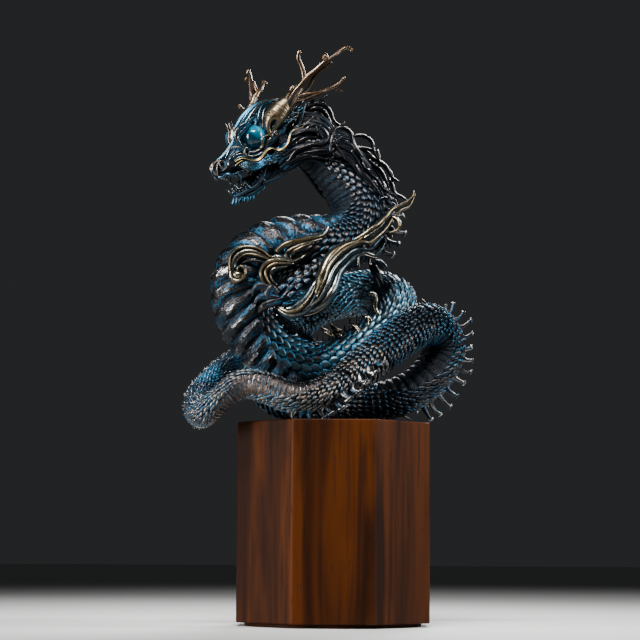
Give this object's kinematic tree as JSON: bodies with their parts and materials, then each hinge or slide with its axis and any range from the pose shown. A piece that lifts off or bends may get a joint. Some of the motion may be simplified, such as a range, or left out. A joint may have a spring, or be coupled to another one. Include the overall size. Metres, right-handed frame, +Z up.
{
  "type": "dragon sculpture",
  "caption": "Coiled long-bodied dragon sculpture with antlers, open jaws and a spined back, fixed on a tall octagonal wooden plinth. A table or shelf ornament.",
  "frame": {"origin": "centre of the plinth's foot, on the surface it stands on", "axes": "+Z up, the dragon's head faces -X and its modelled front faces -Y, +X to the viewer's right"},
  "size_m": [0.1628, 0.1183, 0.3081],
  "materials": {
    "plinth_wood": "satin oiled walnut, upright grain",
    "foot_wood": "matt",
    "patinated_bronze": "dark gunmetal patina, blue in the hollows and coppery on the ridges",
    "eye_glass": "clear gloss, teal"
  },
  "bodies": {
    "root": {"plinth": "plinth_wood", "plinth_foot": "foot_wood", "dragon": "patinated_bronze", "eye_left": "eye_glass", "eye_right": "eye_glass"}
  },
  "joints": []
}
